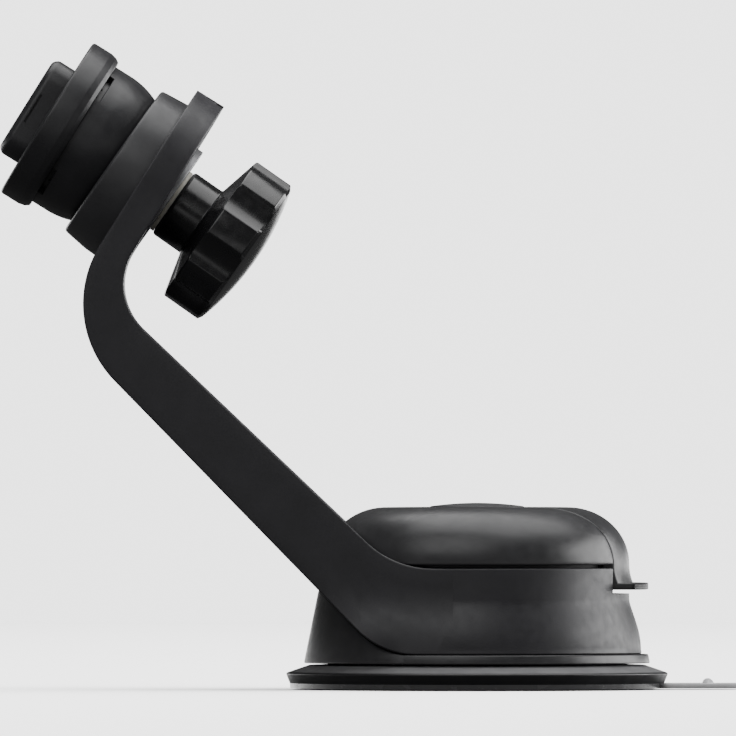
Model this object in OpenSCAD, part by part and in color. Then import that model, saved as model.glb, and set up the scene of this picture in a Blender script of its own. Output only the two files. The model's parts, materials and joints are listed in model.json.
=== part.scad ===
// Car phone mount: a twist-lock phone head on a clamped ball joint, a cranked arm,
// and a lever-operated suction cup base. The origin is on the cup's axis, on its flat face.

/* [Suction base] */
// Reach of the suction cup's rim past the drum
cup_over = 8.5; // [6:0.5:16]
// Height of the cup's rim top
cup_rim_h = 3.5; // [2.6:0.1:4.2]
// Thickness of the gel layer and its release tab
gel_t = 1.1; // [0.8:0.1:1.5]
// Rise of the gel's centre when the base is locked
gel_dish = 1.8; // [1:0.1:2]
// Reach of the release tab past the cup's rim
tab_reach = 20; // [12:1:26]
// Width of the release tab
tab_w = 18; // [12:1:26]
// Radius of the rounded drum that the base stands in
drum_r = 33.5; // [31:0.5:36]
// Top of the drum's wall, where the dome starts
drum_top = 26.5; // [24:0.5:30]
// Overhang of the lower housing's lip past the drum
lip_over = 4.6; // [3:0.2:6]
// Height of the domed top above the drum's wall
dome_h = 13.3; // [11:0.5:16]
// Radius of the dome's flat top
dome_flat_r = 20; // [17:0.5:22]
// Wall thickness of the dome and the lever
shell_t = 2.4; // [1.8:0.1:2.6]

/* [Lever and stem] */
// Width of the lever strip across the dome
lever_w = 30; // [24:1:34]
// Gap between the lever strip and its slot
lever_gap = 0.35; // [0.3:0.05:0.8]
// Reach of the lever's finger tab past the drum
lever_tab = 4.2; // [3:0.2:6]
// Travel of the stem between locked and released
stem_travel = 3; // [2:0.25:3.5]
// Radius of the stem
stem_r = 5; // [4:0.25:5.5]
// Radius of the lever's pin
pin_r = 2; // [1.5:0.1:2.4]
// Running clearance of shafts in their bores
run_gap = 0.05; // [0.03:0.01:0.1]

/* [Arm] */
// Slope of the arm's straight underside, degrees below horizontal
arm_under = 45.7; // [42:0.1:48]
// Slope of the arm's straight upper face
arm_over = 43.6; // [41:0.1:47]
// Thickness of the plate that carries the ball joint
plate_t = 6.9; // [6:0.1:8]
// Reach of the plate's round end past the socket
plate_over = 3.2; // [2.4:0.1:6]
// Depth of the ribbed cavity under the arm's cover
rib_depth = 7; // [5:0.5:8]
// Length of the arm's inset cover
cover_l = 52; // [44:1:58]
// Width of the arm's inset cover
cover_w = 36; // [30:1:38]
// Thickness of the arm's inset cover
cover_t = 2.2; // [1.6:0.2:2.6]

/* [Ball joint] */
// Distance of the ball's centre in front of the suction axis
ball_out = 85.4; // [80:0.5:95]
// Height of the ball's centre above the cup's flat face
ball_up = 119.8; // [114:0.5:130]
// Downward slope of the knob's axis behind the ball
knob_angle = 35; // [33:0.5:37]
// Downward slope of the head's axis, and of the arm's plate normal
head_angle = 32; // [31:0.5:34]
// Radius of the ball
ball_r = 17.4; // [16.6:0.1:18]
// Wall of the ball's shell
ball_wall = 2.6; // [2.2:0.1:3]
// Gap between the ball and its socket, which holds the friction ring
socket_gap = 0.85; // [0.8:0.05:1.1]
// Clearance of each face that slides in the ball joint
slide_gap = 0.25; // [0.2:0.05:0.35]
// Radius of the clamping bolt
bolt_r = 3; // [2.5:0.25:3.5]

/* [Phone head] */
// Reach of the socket and of the release collar past the ball
collar_over = 2; // [1.8:0.1:3.6]
// Length of the release collar
collar_l = 7.1; // [6.8:0.1:8]
// Backward travel of the release collar
collar_travel = 2.5; // [1.5:0.1:2.6]
// Width of the square cleat that locks into a phone case
cleat_w = 23.9; // [22:0.1:25]
// Distance of the cleat's front face ahead of the ball's centre
cleat_front = 16.2; // [15.6:0.1:19]

/* [Knob] */
// Radius of the knob's rim
knob_r = 17.9; // [17:0.1:22]
// Length of the knob's rim
knob_rim_l = 9.1; // [8.6:0.1:12]
// Radius of the knob's neck
neck_r = 8.2; // [7.6:0.1:9.5]
// Length of the knob's neck
neck_l = 7.5; // [7:0.1:10]
// Number of finger scallops around the rim
scallops = 8; // [6:1:10]
// Depth of each finger scallop
scallop_d = 1.5; // [1:0.1:1.6]

/* [Hidden] */
$fn = 96;
eps = 0.01;
big = 200;

// Suction base, worked out
cup_r = drum_r + cup_over;
seal_w = 8;                                 // flat ring of gel around the dished middle
seal_r = cup_r - 0.9;
dish_r = seal_r - seal_w;
cup_z = cup_rim_h + 1.8;                    // where the cup meets the housing's underside
housing_z = cup_z + 0.2;
floor_t = 2;
floor_z = housing_z + floor_t;
lip_r = drum_r + lip_over;
drum_wall = 2.6;
drum_in = drum_r - drum_wall;
drum_bot = floor_z + 0.1;
hub_h = 2.9;                                // the cup's hub, which holds the stem's lower flange
hub_top = cup_z + hub_h;
stem_gap = 0.1;                             // clearance of the stem's flanges
flange_r = stem_r + 4;
flange_t = 2;
flange_z = hub_top - 1.25 - flange_t;
flange2_t = 1;
chamber_r = flange_r + 0.5;
hub_r = chamber_r + 3.5;
chamber_h = 6.3;                            // room for the return spring
tower_top = hub_top + chamber_h;
tower_wall = 2;
cam_t = 1.5;
cam_z = tower_top + cam_t;                  // the face that the lever's cams push on
cam_r = hub_r + 3;
groove_h = 0.7;                             // shadow line between the drum and the dome
dome_z = drum_top + groove_h;
dome_top = drum_top + dome_h;
dome_curve = drum_r - dome_flat_r;
dome_rise = dome_top - dome_z - 0.2;
boss_r = 3.2;
spigot_gap = 0.3;                           // between the dome's spigot and the drum
spigot_t = 2;
boss_at = drum_in - spigot_gap - spigot_t - boss_r - 0.4;

// Lever, worked out
pin_h = 8;                                  // height of the pin above the cam plate when locked
pin_z = cam_z + pin_h;
pad_r = 10.3;
pad_h = 0.95;
lever_rim = 1.13;                           // skin left behind the thumb pad
lever_end_r = norm([pad_r + lever_rim, dome_top - pin_z]);  // the lever's rear end, about its pin
cheek_in = stem_r + 0.6;
cheek_t = 3.8;
cheek_out = cheek_in + cheek_t;
cam_turn = 60;                              // turn of the lever from locked to released
cam_spare = 10;                             // the cam's curve runs on past both ends of the turn
cam_lead = stem_travel / cam_turn;          // drop of the pin for each degree of lever turn
tab_t = 1.5;
notch_z = drum_top - 5.7;
tab_z = notch_z + 0.9;
slot_half = lever_w / 2 + lever_gap;        // half the width of the slot that the lever lies in
boss_turn = asin((slot_half + boss_r + 0.6) / boss_at);
boss_angles = [boss_turn, 180 - boss_turn, 180 + boss_turn, 360 - boss_turn];

// Arm, worked out in its side view: X forward is negative, Z is up
ball_xz = [-ball_out, ball_up];
back = [cos(head_angle), -sin(head_angle)];
along = [sin(head_angle), cos(head_angle)];
collar_r = ball_r + collar_over;
plate_r = collar_r + plate_over;
socket_in_r = ball_r + socket_gap;
plate_front = socket_in_r - 4.15;           // face of the plate, measured behind the ball's centre
plate_back = plate_front + plate_t;
elbow_under_r = 24.2;
elbow_over_r = 13.6;
foot_under_r = 18;
foot_over_r = 21;
arm_low = drum_bot;
under_at = [-drum_r - 3.4, drum_top - 2.7];  // a point on the arm's straight underside
over_at = [4.2 - drum_r, drum_top + 10.5];  // a point on the arm's straight upper face
arm_half = plate_r - 0.3;

// Ball joint, worked out
socket_front = 6.5;
spigot_r = sqrt(pow(socket_in_r, 2) - pow(plate_front, 2)) + 1.21;
spigot_back = plate_back - 0.7;
washer_t = 1.5;
washer_back = spigot_back + washer_t;
shell_in_r = ball_r - ball_wall;
dome_out_r = shell_in_r - slide_gap;
dome_in_r = dome_out_r - 2.3;
head_r = dome_in_r - slide_gap;

// Phone head, worked out: distances ahead of the ball's centre
cleat_proud = 5.3;                          // height of the cleat's face above the collar
collar_front = cleat_front - cleat_proud;
collar_rear = collar_front - collar_l;
collar_wall = 1.9;
collar_gap = 0.3;                           // clearance of the collar on the ball and on the barrel
barrel_r = ball_r - 2.5;
throat_r = barrel_r - 2.6;
barrel_end = collar_front - 1.5;
guard_end = collar_front - collar_wall - collar_travel - 0.2;
wire_t = 0.9;                               // wire of the collar's spring, which lies inside the guard
guard_in = barrel_r + wire_t + 0.65;
skirt_in = ball_r + collar_gap;
slot_z = collar_rear - 1.15;
slot_deg = 29;
lug_deg = slot_deg - 2;
spring_seat = 0.2;

// Knob, worked out: distances behind the ball's centre
knob_gap = 0.05;
kwasher_t = 0.8;
neck_z = washer_back + knob_gap + kwasher_t + knob_gap;
rim_z = neck_z + neck_l + 2.4;
rim_end = rim_z + knob_rim_l;
cap_z = rim_end + 0.7;
cap_h = 2.4;
insert_r = 5;
insert_z = neck_z + 1.3;
insert_l = 14;
bolt_end = insert_z + insert_l + 1;
thread_pitch = 1;
scallop_r = 7;
scallop_turn = 15.5;

function polar(c, r, a) = [c[0] + r * cos(a), c[1] + r * sin(a)];
function arc(c, r, a0, a1, n = 12) = [for (i = [0:n]) polar(c, r, a0 + (a1 - a0) * i / n)];
function along_line(p, slope, t) = [p[0] + t * cos(slope), p[1] - t * sin(slope)];
function side_of(slope) = [sin(slope), cos(slope)];
function dot2(a, b) = a[0] * b[0] + a[1] * b[1];

// Centre of an arc of radius r that joins a sloping line to a level one at height z
function foot_centre(p, slope, r, z) =
    let (t = (p[1] + r * cos(slope) - z - r) / sin(slope))
    p + r * side_of(slope) + t * [cos(slope), -sin(slope)];
// Centre of an arc of radius r that joins the plate's face, d behind the ball, to a sloping line
function elbow_centre(p, slope, r, d) =
    let (q = ball_xz + (d + r) * back, w = p + r * side_of(slope), n = side_of(slope))
    q - along * (dot2(q - w, n) / dot2(along, n));
foot_under = foot_centre(under_at, arm_under, foot_under_r, arm_low);
foot_over = foot_centre(over_at, arm_over, foot_over_r, drum_top);
elbow_under = elbow_centre(under_at, arm_under, elbow_under_r, plate_front);
elbow_over = elbow_centre(over_at, arm_over, elbow_over_r, plate_back);
elbow_start = 180 - head_angle;

// Underside of the arm from the elbow to the base, grown outwards by g
function underside(g) = concat(
    arc(elbow_under, elbow_under_r + g, elbow_start, 270 - arm_under, 16),
    arc(foot_under, foot_under_r + g, 270 - arm_under, 270, 8));
upper_face = concat(
    arc(foot_over, foot_over_r, 270, 270 - arm_over, 8),
    arc(elbow_over, elbow_over_r, 270 - arm_over, elbow_start, 12));
plate_reach = plate_r + 2;
arm_side = concat(
    [ball_xz + plate_front * back + plate_reach * along], underside(0),
    [[0, arm_low], [0, drum_top]], upper_face,
    [ball_xz + plate_back * back + plate_reach * along]);

// Frames
module at_ball() translate([-ball_out, 0, ball_up]) children();
module forward() at_ball() rotate([0, head_angle - 90, 0]) children();
module backward() at_ball() rotate([0, 90 + knob_angle, 0]) children();
module plateward() at_ball() rotate([0, 90 + head_angle, 0]) children();
module at_bosses() for (a = boss_angles) rotate(a) translate([boss_at, 0, housing_z]) children();
module side_extrude(w) rotate([90, 0, 0]) linear_extrude(w, center = true) children();
module cross_pin(r, w) rotate([90, 0, 0]) cylinder(r = r, h = w, center = true);
module ring(r_out, r_in, z, h) translate([0, 0, z]) difference() {
    cylinder(r = r_out, h = h);
    translate([0, 0, -1]) cylinder(r = r_in, h = h + 2);
}
module bore(r, z0, z1) translate([0, 0, z0]) cylinder(r = r, h = z1 - z0);

// Screws: shank radius, head radius, length, size of the hexagonal drive. Each points up from its head's face
base_screw = [1.5, 2.8, 12, 1.2];
cover_screw = [1, 1.9, 7, 0.8];
socket_screw = [1.25, 2.3, 10, 1];
cleat_screw = [0.8, 1.15, 6, 0.5];
head_rim = 0.3;                             // straight edge of a countersunk head
screw_gap = 0.02;
module screw(size) difference() {
    rotate_extrude($fn = 32) polygon([
        [0, 0], [size[1], 0], [size[1], head_rim], [size[0], head_rim + size[1] - size[0]],
        [size[0], size[2] - 0.6], [size[0] - 0.5, size[2]], [0, size[2]]]);
    translate([0, 0, -eps]) cylinder(r = size[3], h = size[3], $fn = 6);
}
module screw_hole(size) rotate_extrude($fn = 32) polygon([
    [0, -1], [size[1] + screw_gap, -1], [size[1] + screw_gap, head_rim],
    [size[0] + screw_gap, head_rim + size[1] - size[0]],
    [size[0] + screw_gap, size[2] + 1], [0, size[2] + 1]]);

// A coil spring's wire, swept along a helix with flattened ends
function coil_point(r, len, wire, turns, u) =
    [r * cos(360 * turns * u), r * sin(360 * turns * u),
     wire / 2 + (len - wire) * min(1, max(0, (u * turns - 0.8) / (turns - 1.6)))];
module coil(r, wire, len, turns, sides = 8, steps = 24) {
    n = turns * steps;
    points = [for (i = [0:n]) let (u = i / n, p = coil_point(r, len, wire, turns, u), a = 360 * turns * u)
        for (j = [0:sides - 1]) let (b = 360 * j / sides)
        [p[0] + wire / 2 * cos(b) * cos(a), p[1] + wire / 2 * cos(b) * sin(a), p[2] + wire / 2 * sin(b)]];
    walls = [for (i = [0:n - 1]) for (j = [0:sides - 1]) let (k = (j + 1) % sides)
        [i * sides + j, (i + 1) * sides + j, (i + 1) * sides + k, i * sides + k]];
    first = [for (j = [0:sides - 1]) j];
    last = [for (j = [sides - 1:-1:0]) n * sides + j];
    polyhedron(points, concat(walls, [first], [last]));
}

// Suction base
function dish(r) = r >= dish_r ? 0 : gel_dish * pow(1 - pow(r / dish_r, 2), 2);
dish_steps = 10;
function dish_curve(up) = [for (i = [0:dish_steps]) let (r = dish_r * i / dish_steps) [r, dish(r) + up]];
function reversed(list) = [for (i = [len(list) - 1:-1:0]) list[i]];

bead_r = 1.25;
bead_at = tab_reach * 0.44;
module gel_pad() color("darkgray") {
    rotate_extrude() polygon(concat(dish_curve(0),
        [[seal_r, 0], [seal_r + 0.1, gel_t]], reversed(dish_curve(gel_t))));
    difference() {
        union() {
            translate([seal_r - 2, -tab_w / 2, 0])
                cube([cup_r - seal_r + 2 + tab_reach - tab_w / 3, tab_w, gel_t]);
            translate([cup_r + tab_reach - tab_w / 2, 0, 0]) intersection() {
                cylinder(r = tab_w / 2, h = gel_t);
                translate([tab_w / 6 - eps, -tab_w, 0]) cube([tab_w, 2 * tab_w, gel_t]);
            }
            translate([cup_r + bead_at, 0, gel_t - 0.2]) cross_pin(bead_r, tab_w - 4);
        }
        translate([0, -big / 2, -big]) cube([big, big, big]);
        cylinder(r = seal_r - 1, h = big);
    }
}

module suction_cup() color("#242427") rotate_extrude() polygon(concat(dish_curve(gel_t), [
    [seal_r + 0.1, gel_t], [cup_r - 0.1, cup_rim_h - 0.6], [cup_r, cup_rim_h - 0.2], [cup_r - 0.3, cup_rim_h],
    [lip_r - 1.2, cup_z - 0.15], [drum_r - 3.5, cup_z], [hub_r + 0.8, cup_z],
    [hub_r, cup_z + 0.8], [hub_r, hub_top - 0.4], [hub_r - 0.4, hub_top], [stem_r + 0.15, hub_top],
    [stem_r + 0.15, flange_z + flange_t + 0.05], [flange_r + 0.1, flange_z + flange_t + 0.05],
    [flange_r + 0.1, flange_z - 0.05], [0, flange_z - 0.05]]));

// The lower housing shows as a cone below the arm, and as a lip elsewhere
cone_h = drum_top - housing_z - 5;
cone_lean = 3.2;
lip_top_r = lip_r - cone_lean * floor_t / cone_h;
rim_t = 2.5;                                // inner rim that centres the drum
rim_h = 6;
module below_arm(g, w) side_extrude(w) polygon(concat(underside(g),
    [[foot_under[0], -1], [elbow_under[0] - elbow_under_r - 5, -1]]));
module lower_housing() color("#2b2b2e") difference() {
    union() {
        translate([0, 0, housing_z]) cylinder(r1 = lip_r, r2 = lip_top_r, h = floor_t);
        ring(drum_in - 0.1, drum_in - 0.1 - rim_t, floor_z - eps, rim_h);
        bore(cam_r + tower_wall, housing_z, tower_top + 1);
        intersection() {
            rotate_extrude() polygon([
                [drum_in - 0.1, floor_z - 1], [lip_top_r, floor_z - 1],
                [lip_r - cone_lean, housing_z + cone_h], [drum_in - 0.1, housing_z + cone_h]]);
            below_arm(0.2, 3 * cup_r);
        }
    }
    bore(cam_r + 0.1, tower_top, big);
    bore(chamber_r, housing_z - 1, big);
    bore(hub_r + 1, housing_z - 1, hub_top + 0.8);
    at_bosses() screw_hole(base_screw);
}

module cam_plate() color("silver") ring(cam_r, stem_r + run_gap, tower_top, cam_t);

// Half of the dome's outline: a quarter ellipse that ends in the flat top
function dome_arc(inset, n = 14) = [for (i = [0:n]) let (a = 90 * i / n)
    [dome_flat_r + (dome_curve - inset) * cos(a), dome_z + 0.2 + (dome_rise - inset) * sin(a)]];
ledge_t = 1.6;
module slot_sweep(half, r) intersection() {
    union() {
        cross_pin_at(r, 2 * half);
        translate([0, -half, pin_z - 12]) cube([big, 2 * half, big]);
    }
    translate([-big / 2, -half, cam_z + 1]) cube([big, 2 * half, big]);
}
module cross_pin_at(r, w) translate([0, 0, pin_z]) cross_pin(r, w);

module dome_cover() color("#2f2f32") {
    spigot_out = drum_in - spigot_gap;
    spigot_in = spigot_out - spigot_t;
    difference() {
        union() {
            rotate_extrude() polygon(concat(
                [[drum_r, dome_z]], dome_arc(0), [[0, dome_top], [0, dome_top - shell_t]],
                [for (p = reversed(dome_arc(shell_t))) if (p[1] > dome_z + ledge_t + 0.1) p],
                [[drum_r - shell_t - 0.1, dome_z + ledge_t], [spigot_in, dome_z + ledge_t],
                [spigot_in, notch_z - 0.7], [spigot_out, notch_z - 0.7], [spigot_out, dome_z]]));
            intersection() {
                for (a = boss_angles) rotate(a) translate([boss_at, 0, 0]) bore(boss_r, floor_z, big);
                rotate_extrude() polygon(
                    concat([[0, 0], [drum_r - 1, 0]], dome_arc(1), [[0, dome_top - 1]]));
            }
        }
        slot_sweep(slot_half, lever_end_r + lever_gap);
        at_bosses() screw_hole(base_screw);
    }
}

module base_screws() color("silver") at_bosses() screw(base_screw);

// Stem and its spring
module stem() color("gainsboro") difference() {
    union() {
        bore(stem_r, flange_z, pin_z + pin_r + 2.4);
        bore(flange_r, flange_z, flange_z + flange_t);
        bore(flange_r - 0.4, hub_top + stem_gap, hub_top + stem_gap + flange2_t);
    }
    cross_pin_at(pin_r + 0.01, 3 * stem_r);
}
module lever_pin() color("silver") cross_pin_at(pin_r, 2 * (cheek_out + 1.2));
module pin_clips() color("dimgray") for (s = [-1, 1]) translate([0, s * (cheek_out + 0.5), pin_z])
    rotate([90, 0, 0]) difference() {
        cylinder(r = pin_r + 1.6, h = 0.6, center = true);
        cylinder(r = pin_r + 0.01, h = 2, center = true);
        translate([0, -pin_r - 1, 0]) cube([pin_r, 2 * pin_r, 2], center = true);
    }
spring_z = hub_top + stem_gap + flange2_t;
module stem_spring() color("silver") translate([0, 0, spring_z + eps])
    coil(stem_r + 2.1, 1.2, tower_top - spring_z - 2 * eps, 3.5);

// Lever: a strip of the dome's own skin on two cam cheeks
function cam_h(turn) = pin_h - cam_lead * turn;
function cam_point(turn) = let (a = -90 - turn, h = cam_h(turn), lead = cam_lead * 180 / PI)
    [h * cos(a) - lead * sin(a), pin_z + h * sin(a) + lead * cos(a)];
cam_curve = [for (turn = [-cam_spare:5:cam_turn + cam_spare]) cam_point(turn)];
web_w = 8.5;
cheek_side = concat(cam_curve, [[-web_w, dome_top - shell_t + 0.4], [web_w, dome_top - shell_t + 0.4],
    [web_w / 2 + 1.5, pin_z]]);
rib_t = 1.6;
rib_h = 3;
module lever_skin() rotate_extrude() polygon(concat(
    [[drum_r + lever_tab, tab_z], [drum_r + lever_tab, tab_z + tab_t], [drum_r + 0.8, tab_z + tab_t]],
    dome_arc(0), [[0, dome_top], [0, dome_top - shell_t]],
    reversed(dome_arc(shell_t)), [[drum_r - shell_t + 0.8, tab_z]]));
module lever() color("#2f2f32") difference() {
    union() {
        intersection() {
            lever_skin();
            union() {
                cross_pin_at(lever_end_r, lever_w);
                translate([0, -lever_w / 2, 0]) cube([big, lever_w, big]);
            }
        }
        for (s = [-1, 1]) translate([0, s * (cheek_in + cheek_t / 2), 0]) {
            side_extrude(cheek_t) polygon(cheek_side);
        }
        intersection() {
            rotate_extrude() polygon(concat(dome_arc(shell_t - 0.4), reversed(dome_arc(shell_t + rib_h)),
                [[drum_r - shell_t - rib_h, tab_z], [drum_r - shell_t + 1.2, tab_z]]));
            for (s = [-1, 1]) translate([0, s * (cheek_in + cheek_t / 2) - rib_t / 2, 0])
                cube([big, rib_t, big]);
        }
    }
    cross_pin_at(pin_r + run_gap, big);
}
// Outline of a low spherical cap of base radius r and height h, which stands on height z
function low_cap(r, h, z, n = 8) = let (ball = (r * r + h * h) / (2 * h), reach = asin(r / ball))
    [for (i = [0:n]) let (a = reach * i / n) [ball * sin(a), z + h - ball + ball * cos(a)]];
module lever_pad() color("#3a3a3d") rotate_extrude() polygon(concat(
    [[0, dome_top]], low_cap(pad_r, pad_h - pad_edge, dome_top + pad_edge),
    [[pad_r + pad_edge / 2, dome_top]]));
pad_edge = 0.25;

// Arm: the drum's wall, the cranked arm and the joint plate in one piece
plan_out = 70;
plan_lean = asin((drum_r - arm_half) / plan_out);
function plan_edge(s) = [
    [-drum_r * sin(plan_lean), s * drum_r * cos(plan_lean)],
    [-plan_out - arm_half * sin(plan_lean), s * arm_half * cos(plan_lean)],
    [-big, s * arm_half * cos(plan_lean)]];
module arm_plan() linear_extrude(big) polygon(concat(plan_edge(1), reversed(plan_edge(-1))));
module drum_wall() rotate_extrude() polygon([
    [drum_in, drum_bot], [lip_r - 1.8, drum_bot], [lip_r - 2, drum_bot + 0.8], [lip_r - 2.5, drum_bot + 5],
    [drum_r + 1.3, drum_bot + 7.4], [drum_r + 0.4, notch_z - 3], [drum_r, notch_z - 1.3], [drum_r, drum_top],
    [drum_in, drum_top]]);
rail_t = 1.6;
cover_foot = polar(foot_over, foot_over_r, 270 - arm_over);
cover_start = 8;                            // lower end of the cover, up the arm from the foot
cover_mid = cover_l / 2 + cover_start;
module on_cover() translate([cover_foot[0], 0, cover_foot[1]])
    rotate([0, 180 + arm_over, 0]) mirror([0, 0, 1]) translate([cover_mid, 0, 0]) children();
module cover_outline(grow, z, h) translate([0, 0, z]) linear_extrude(h)
    square([cover_l + 2 * grow, cover_w + 2 * grow], center = true);
pocket_l = cover_l - 14;
pocket_w = cover_w - 6;
pocket_n = [4, 3];
module rib_pockets() {
    cell = [(pocket_l + rail_t) / pocket_n[0], (pocket_w + rail_t) / pocket_n[1]];
    for (i = [0:pocket_n[0] - 1], j = [0:pocket_n[1] - 1])
        translate([-pocket_l / 2 + i * cell[0], -pocket_w / 2 + j * cell[1], -cover_t - rib_depth])
            cube([cell[0] - rail_t, cell[1] - rail_t, rib_depth + 1]);
}
cover_screw_at = cover_l / 2 - 3.4;
module at_cover_screws() for (s = [-1, 1])
    translate([s * cover_screw_at, 0, 0]) mirror([0, 0, 1]) children();
module arm() color("#2c2b2f") difference() {
    union() {
        difference() {
            drum_wall();
            below_arm(0, big);
        }
        intersection() {
            side_extrude(big) polygon(arm_side);
            arm_plan();
            union() {
                backward() cylinder(r1 = plate_r + 0.8, r2 = plate_r - 0.9, h = 2 * plate_front);
                backward() translate([0, -big, -big]) cube(2 * big);
            }
        }
    }
    bore(drum_in, -1, drum_top);
    bore(drum_r + 0.3, drum_top, big);
    slot_notch();
    backward() bore(spigot_r + 0.1, plate_front - 3, plate_back + 3);
    on_cover() {
        cover_outline(0.15, -cover_t, big / 4);
        rib_pockets();
        at_cover_screws() screw_hole(cover_screw);
    }
    at_socket_screws() screw_hole(socket_screw);
}
module slot_notch() translate([drum_r / 2, -slot_half, notch_z]) cube([big, 2 * slot_half, big]);
module arm_cover() color("#343337") on_cover() difference() {
    cover_outline(0, -cover_t, cover_t);
    at_cover_screws() screw_hole(cover_screw);
}
module cover_screws() color("silver") on_cover() at_cover_screws() screw(cover_screw);

// Ball joint
socket_screw_at = (spigot_r + collar_r) / 2 + 0.3;
module at_socket_screws() plateward() for (a = [45:90:315])
    rotate(a) translate([socket_screw_at, 0, plate_back]) mirror([0, 0, 1]) children();
module behind_plate() plateward() translate([-big / 2, -big / 2, plate_front]) cube([big, big, big]);
module socket() color("#38383b") difference() {
    union() {
        difference() {
            backward() rotate_extrude() polygon([
                [0, socket_front], [collar_r - 1.5, socket_front], [collar_r - 0.8, socket_front + 0.5],
                [collar_r - 0.6, socket_front + 1.4], [collar_r, socket_front + 6.7], [collar_r, plate_back],
                [0, plate_back]]);
            behind_plate();
        }
        backward() bore(spigot_r, plate_front - 2, spigot_back);
    }
    backward() intersection() {
        sphere(r = socket_in_r);
        translate([0, 0, -1]) cylinder(r = big, h = big);
    }
    backward() bore(bolt_r + 0.05, 0, big);
    backward() translate([0, 0, socket_in_r - 1]) cylinder(r = neck_hex + 0.03, h = big, $fn = 6);
    at_socket_screws() screw_hole(socket_screw);
}
module socket_screws() color("silver") at_socket_screws() screw(socket_screw);
neck_hex = bolt_r + 1.2;
bolt_cap_deg = 56;
module clamp_bolt() color("silver") backward() difference() {
    union() {
        intersection() {
            sphere(r = head_r);
            bore(head_r, head_r * cos(bolt_cap_deg), head_r + 1);
        }
        bore(bolt_r, head_r - 1, bolt_end);
        translate([0, 0, socket_in_r + 0.1])
            cylinder(r = neck_hex, h = spigot_back - socket_in_r - 0.1, $fn = 6);
    }
    translate([0, 0, head_r * cos(bolt_cap_deg) - eps]) cylinder(r = 2.9, h = 2.6, $fn = 6);
}
module thrust_washer() color("#8d8d90") backward() ring(spigot_r, bolt_r + 0.05, spigot_back, washer_t);

// A band of a spherical shell, between two angles from the axis
function cap_band(r_out, r_in, a0, a1, n = 10) = concat(
    [for (i = [0:n]) let (a = a0 + (a1 - a0) * i / n) [r_out * sin(a), r_out * cos(a)]],
    [for (i = [n:-1:0]) let (a = a0 + (a1 - a0) * i / n) [r_in * sin(a), r_in * cos(a)]]);
module friction_ring() color("#d8d4c4") backward() rotate_extrude()
    polygon(cap_band(socket_in_r - slide_gap * 0.8, ball_r + slide_gap * 0.6, 34, 47));
module clamp_dome() color("silver") forward() mirror([0, 0, 1]) rotate_extrude()
    polygon(cap_band(dome_out_r, dome_in_r, 35, 52));

// Phone head
hole_deg = 34;
throat_deg = asin(throat_r / shell_in_r);
module ball_shell() color("#303033") forward() difference() {
    mirror([0, 0, 1]) rotate_extrude() polygon(concat(
        [for (i = [0:16]) let (a = hole_deg + (90 - hole_deg) * i / 16) [ball_r * sin(a), ball_r * cos(a)]],
        [[ball_r, -guard_end], [guard_in, -guard_end], [guard_in, -spring_seat], [barrel_r, -spring_seat],
         [barrel_r, -barrel_end], [throat_r, -barrel_end]],
        [for (i = [0:6]) let (a = throat_deg + (hole_deg - throat_deg) * i / 6)
            [shell_in_r * sin(a), shell_in_r * cos(a)]]));
    for (a = [45:90:315]) rotate(a - slot_deg / 2) rotate_extrude(angle = slot_deg)
        polygon([[guard_in - 0.4, slot_z], [ball_r + 1, slot_z], [ball_r + 1, big], [guard_in - 0.4, big]]);
    at_cleat_screws() screw_hole(cleat_screw);
}
module collar() color("#28282b") forward() {
    rotate_extrude() polygon([
        [skirt_in, collar_rear], [collar_r - 0.9, collar_rear], [collar_r - 0.4, collar_rear + 0.8],
        [collar_r, collar_rear + 2.2], [collar_r, collar_front - 0.6], [collar_r - 0.6, collar_front],
        [barrel_r + 0.2, collar_front], [barrel_r + 0.2, collar_front - collar_wall],
        [skirt_in, collar_front - collar_wall]]);
    for (a = [45:90:315]) rotate(a - lug_deg / 2) rotate_extrude(angle = lug_deg)
        polygon([[guard_in + 0.15, guard_end - 0.9], [skirt_in + 0.3, guard_end - 0.9],
            [skirt_in + 0.3, collar_front - collar_wall + 0.2],
            [guard_in + 0.15, collar_front - collar_wall + 0.2]]);
}
module collar_spring() color("silver") forward() translate([0, 0, spring_seat + eps])
    coil((barrel_r + guard_in) / 2, wire_t, collar_front - collar_wall - spring_seat - 2 * eps, 4.5);

cleat_flange_r = barrel_r - 0.2;
cleat_flange_t = 1.3;
cleat_seat = barrel_end + cleat_flange_t;
cleat_screw_at = (barrel_r + throat_r) / 2 - 0.2;
// Corner radius that clears the collar's mouth
cleat_corner = max(1.5, (cleat_w / 2 * sqrt(2) - barrel_r + 0.07) / (sqrt(2) - 1));
lock_l = 7.1;
lock_h = 0.5;
lock_depth = 1.2;
lock_back = 2.1;                            // from the cleat's face to the far wall of its lock slots
cleat_edge = 0.5;                           // height of each step of the cleat's rounded front edge
module at_cleat_screws() for (a = [0:90:270])
    rotate(a) translate([cleat_screw_at, 0, cleat_seat]) mirror([0, 0, 1]) children();
module cleat_outline(inset) {
    half = cleat_w / 2 - inset;
    r = cleat_corner - inset;
    square([2 * half, 2 * (half - r)], center = true);
    square([2 * (half - r), 2 * half], center = true);
    for (x = [-1, 1], y = [-1, 1]) translate([x * (half - r), y * (half - r)]) circle(r = r);
}
module cleat() color("#2a2a2d") forward() difference() {
    union() {
        bore(cleat_flange_r, barrel_end, cleat_seat);
        bore(throat_r - 0.1, barrel_end - 1.5, barrel_end + eps);
        translate([0, 0, cleat_seat - eps])
            linear_extrude(cleat_front - cleat_seat - 2 * cleat_edge + eps) cleat_outline(0);
        for (step = [[2, 0.25], [1, 0.8]]) translate([0, 0, cleat_front - step[0] * cleat_edge - eps])
            linear_extrude(cleat_edge + eps) cleat_outline(step[1]);
    }
    for (a = [0:90:270]) rotate(a)
        translate([cleat_w / 2 - lock_depth, -lock_l / 2, cleat_front - lock_back])
            cube([big, lock_l, lock_h]);
    at_cleat_screws() screw_hole(cleat_screw);
}
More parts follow.
